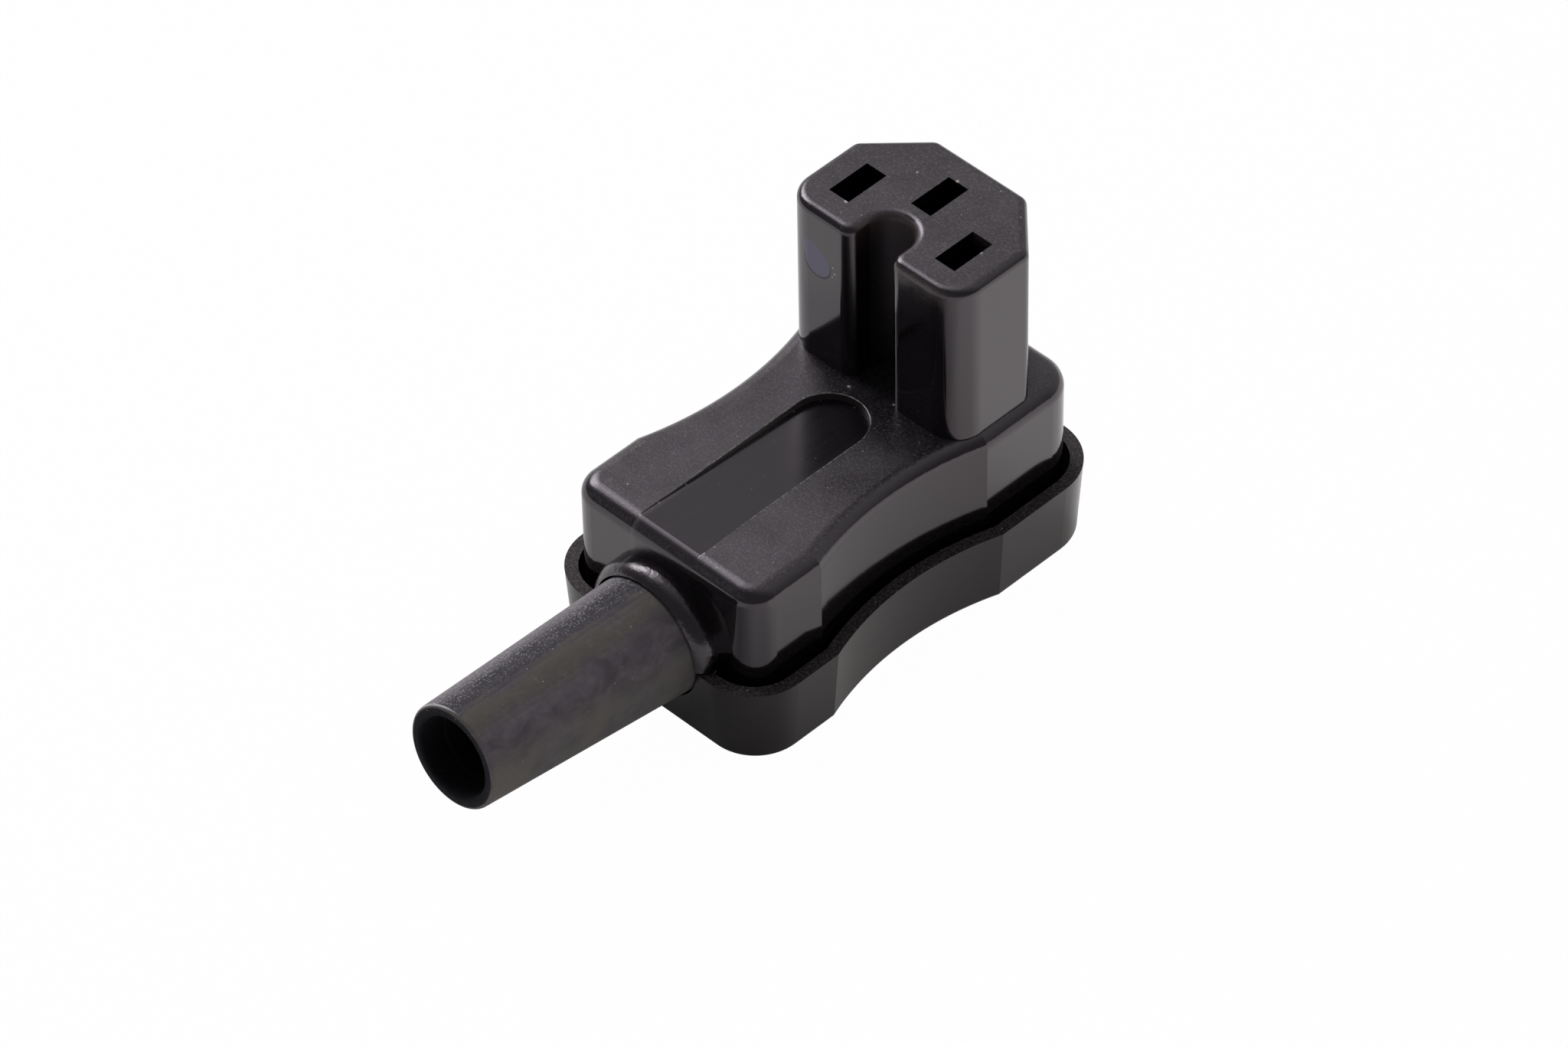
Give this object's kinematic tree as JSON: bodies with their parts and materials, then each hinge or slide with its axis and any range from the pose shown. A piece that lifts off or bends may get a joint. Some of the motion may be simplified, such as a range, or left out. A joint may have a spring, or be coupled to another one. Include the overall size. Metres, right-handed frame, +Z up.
{
  "type": "angled appliance connector",
  "caption": "Right-angle rewireable appliance connector: a notched three-hole mating head stands square to the cord on a waisted body with a ribless tapered bend sleeve.",
  "frame": {"origin": "on the flat underside of the cover, straight below the middle of the mating head", "axes": "+X from the line opening to the neutral opening, +Y away from the cord towards the offset earth opening, +Z up from the underside to the mating face"},
  "size_m": [0.0294, 0.0751, 0.0394],
  "materials": {
    "housing": "satin moulded, fine grain",
    "cover": "satin moulded",
    "sleeve": "matt",
    "contact": "bright pressed strip",
    "terminal": "machined",
    "screw": "plated",
    "insert": "machined",
    "retainer": "matt",
    "clamp": "matt"
  },
  "bodies": {
    "root": {"upper_housing": "housing", "bottom_cover": "cover", "bend_sleeve": "sleeve", "line_contact": "contact", "neutral_contact": "contact", "earth_contact": "contact", "contact_retainer": "retainer", "line_terminal": "terminal", "neutral_terminal": "terminal", "earth_terminal": "terminal", "line_terminal_screw": "screw", "neutral_terminal_screw": "screw", "earth_terminal_screw": "screw", "cord_clamp": "clamp", "clamp_screw_left": "screw", "clamp_screw_right": "screw", "clamp_insert_left": "insert", "clamp_insert_right": "insert", "cover_screw_front": "screw", "cover_screw_rear": "screw", "cover_insert_front": "insert", "cover_insert_rear": "insert"}
  },
  "joints": []
}
